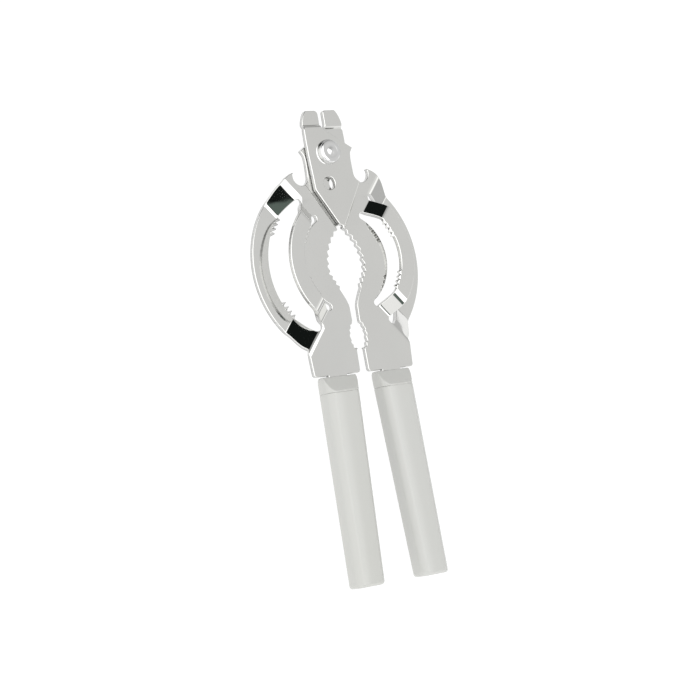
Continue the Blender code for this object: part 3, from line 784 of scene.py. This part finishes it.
def plastic(name, colour, seed):
    """Off-white moulded plastic, satin gloss, with faint flow marks and a fine texture."""
    m, nt, b = nodes_of(name)
    link = nt.links.new
    b.inputs["Metallic"].default_value = 0.0
    b.inputs["IOR"].default_value = 1.5
    tc = nt.nodes.new("ShaderNodeTexCoord")
    mp = nt.nodes.new("ShaderNodeMapping")
    mp.inputs["Location"].default_value = (seed, seed * 1.3, 0)
    link(tc.outputs["Object"], mp.inputs["Vector"])
    flow = add(nt, "ShaderNodeTexNoise", Scale=28.0, Detail=3.0, Roughness=0.5)
    fm = nt.nodes.new("ShaderNodeMapping")
    fm.inputs["Scale"].default_value = (1.0, 0.35, 1.0)
    link(mp.outputs[0], fm.inputs["Vector"])
    link(fm.outputs[0], flow.inputs["Vector"])
    ramp = nt.nodes.new("ShaderNodeValToRGB")
    ramp.color_ramp.elements[0].position = 0.3
    ramp.color_ramp.elements[1].position = 0.72
    ramp.color_ramp.elements[0].color = (colour[0] * 0.985, colour[1] * 0.985, colour[2] * 0.97, 1)
    ramp.color_ramp.elements[1].color = (*colour, 1)
    link(flow.outputs["Fac"], ramp.inputs["Fac"])
    link(ramp.outputs["Color"], b.inputs["Base Color"])
    fine = add(nt, "ShaderNodeTexNoise", Scale=1400.0, Detail=2.0, Roughness=0.5)
    link(mp.outputs[0], fine.inputs["Vector"])
    rr = nt.nodes.new("ShaderNodeMapRange")
    rr.inputs["To Min"].default_value = 0.13
    rr.inputs["To Max"].default_value = 0.2
    link(flow.outputs["Fac"], rr.inputs["Value"])
    link(rr.outputs["Result"], b.inputs["Roughness"])
    b1 = add(nt, "ShaderNodeBump", Strength=0.10, Distance=0.00003)
    link(fine.outputs["Fac"], b1.inputs["Height"])
    slow = add(nt, "ShaderNodeTexNoise", Scale=70.0, Detail=2.0, Roughness=0.5)
    link(fm.outputs[0], slow.inputs["Vector"])
    b2 = add(nt, "ShaderNodeBump", Strength=0.12, Distance=0.0005)
    link(slow.outputs["Fac"], b2.inputs["Height"])
    link(b1.outputs["Normal"], b2.inputs["Normal"])
    link(b2.outputs["Normal"], b.inputs["Normal"])
    return m


# edge colours sit below the plating's own dullness: the sheared side faces carry painted shade, and the torn lower
# band carries painted shadow of the table under the plate
SHEARED_EDGE_PAINTED_SHADE = cut_edge("edge_sheared_painted_shade", (0.60, 0.60, 0.59), 0.16)
TORN_ZONE_PAINTED_SHADOW = cut_edge("edge_torn_painted_shadow", (0.42, 0.42, 0.413), 0.22)
CHROME_FRONT = chrome("chrome_front", (0.745, 0.745, 0.73), 0.13)
CHROME_REAR = chrome("chrome_rear", (0.745, 0.745, 0.732), 0.57)
CHROME_RIVET = chrome("chrome_rivet", (0.75, 0.752, 0.755), 0.91)
WHITE_R = plastic("plastic_right", (0.55, 0.553, 0.537), 0.2)
WHITE_L = plastic("plastic_left", (0.55, 0.553, 0.536), 0.8)

pieces = [
    (lever("front_lever_plate", 1, 1, CHROME_FRONT), "front_half", "front_lever"),
    (lever("rear_lever_plate", -1, -1, CHROME_REAR), "rear_half", "rear_lever"),
    (rivet("rivet_turned", CHROME_RIVET), "rear_half", "pivot_rivet"),
    (grip("right_grip_sleeve", 1, WHITE_R), "front_half", "right_grip"),
    (grip("left_grip_sleeve", -1, WHITE_L), "rear_half", "left_grip"),
]
for ob, body, node in pieces:
    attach(ob, body)
    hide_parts(node)

# ------------------------------------------------------------------ studio
floor_z = cad_lo.z - 0.0001


def floor_material():
    m = bpy.data.materials.new("studio_table")
    m.use_nodes = True
    nt = m.node_tree
    b = nt.nodes["Principled BSDF"]
    b.inputs["Base Color"].default_value = (0.17, 0.17, 0.17, 1)
    b.inputs["Roughness"].default_value = 0.9
    b.inputs["Specular IOR Level"].default_value = 0.0
    b.inputs["Emission Color"].default_value = (1, 1, 1, 1)
    b.inputs["Emission Strength"].default_value = 0.9
    return m


x0, x1, y0, y1 = -3.0, 0.8, -3.0, 3.0
floor = mesh_object("studio_floor", [(x0, y0, floor_z), (x1, y0, floor_z), (x1, y1, floor_z), (x0, y1, floor_z)], [(0, 1, 2, 3)], None, floor_material(), False)

world = bpy.data.worlds.new("studio")
bpy.context.scene.world = world
world.use_nodes = True
wt = world.node_tree
wl = wt.links.new
bg = wt.nodes["Background"]
coord = wt.nodes.new("ShaderNodeTexCoord")


def lobe(direction, inner_deg, outer_deg):
    """1 within inner_deg of the direction, 0 beyond outer_deg."""
    v = Vector(direction).normalized()
    dot = wt.nodes.new("ShaderNodeVectorMath")
    dot.operation = "DOT_PRODUCT"
    wl(coord.outputs["Generated"], dot.inputs[0])
    dot.inputs[1].default_value = v
    r = wt.nodes.new("ShaderNodeMapRange")
    r.interpolation_type = "SMOOTHSTEP"
    r.inputs["From Min"].default_value = math.cos(math.radians(outer_deg))
    r.inputs["From Max"].default_value = math.cos(math.radians(inner_deg))
    wl(dot.outputs["Value"], r.inputs["Value"])
    return r.outputs["Result"]


def over(below, fac, colour):
    mix = wt.nodes.new("ShaderNodeMix")
    mix.data_type = "RGBA"
    wl(fac, mix.inputs["Factor"])
    if isinstance(below, tuple):
        mix.inputs["A"].default_value = (*below, 1)
    else:
        wl(below, mix.inputs["A"])
    mix.inputs["B"].default_value = (*colour, 1)
    return mix.outputs["Result"]


def aim(azimuth, zenith):
    a, z = math.radians(azimuth), math.radians(zenith)
    return (math.sin(z) * math.cos(a), math.sin(z) * math.sin(a), math.cos(z))


LIGHTS = (
    # azimuth, angle from zenith, full within, gone beyond, colour
    (-85, 78, 22, 60, (1.15, 1.15, 1.14)),
    (180, 68, 28, 52, (1.45, 1.45, 1.43)),
    (6, 90, 18, 30, (0.58, 0.58, 0.575)),
    (85, 72, 12, 66, (0.36, 0.36, 0.355)),
    (-8, 52, 4, 12, (0.9, 0.9, 0.885)),
    (-8, 66, 4, 9, (1.3, 1.3, 1.28)),
    (180, 38, 14, 24, (1.5, 1.5, 1.48)),
    (106, 68, 10, 15, (0.008, 0.01, 0.009)),
    (102, 50, 12, 14, (0.008, 0.01, 0.009)),
    (-114, 39, 8.5, 10, (0.008, 0.01, 0.009)),
    (-112, 40.5, 6.6, 7.6, (0.13, 0.165, 0.145)),
    (0, 0, 24, 30, (2.3, 2.3, 2.3)),
)
sky = (0.775, 0.775, 0.765)
for azimuth, zenith, full, gone, colour in LIGHTS:
    sky = over(sky, lobe(aim(azimuth, zenith), full, gone), colour)
wl(sky, bg.inputs["Color"])
bg.inputs["Strength"].default_value = 1.0

# ------------------------------------------------------------------ camera
th, ph, ps = 0.59869, -0.08711, -0.17112
c = Vector((-math.sin(th) * math.cos(ph), math.sin(ph), math.cos(th) * math.cos(ph)))
right = Vector((0, 1, 0)).cross(c).normalized()
upv = c.cross(right)
cam_x = math.cos(ps) * right + math.sin(ps) * upv
cam_y = -math.sin(ps) * right + math.cos(ps) * upv
cam_data = bpy.data.cameras.new("camera")
cam_data.sensor_width = 36.0
cam_data.lens = 2067.92694 / 700 * 36.0
cam_data.clip_start, cam_data.clip_end = 0.01, 20.0
cam = bpy.data.objects.new("camera", cam_data)
bpy.context.scene.collection.objects.link(cam)
rot = Matrix((cam_x, cam_y, c)).transposed().to_4x4()
place = Vector((-0.489635, -0.159359, 0.710560)) + Vector(PIVOT)
cam.matrix_world = Matrix.Translation(place) @ rot
bpy.context.scene.camera = cam
bpy.context.scene.view_settings.view_transform = "Standard"
bpy.context.scene.view_settings.look = "None"
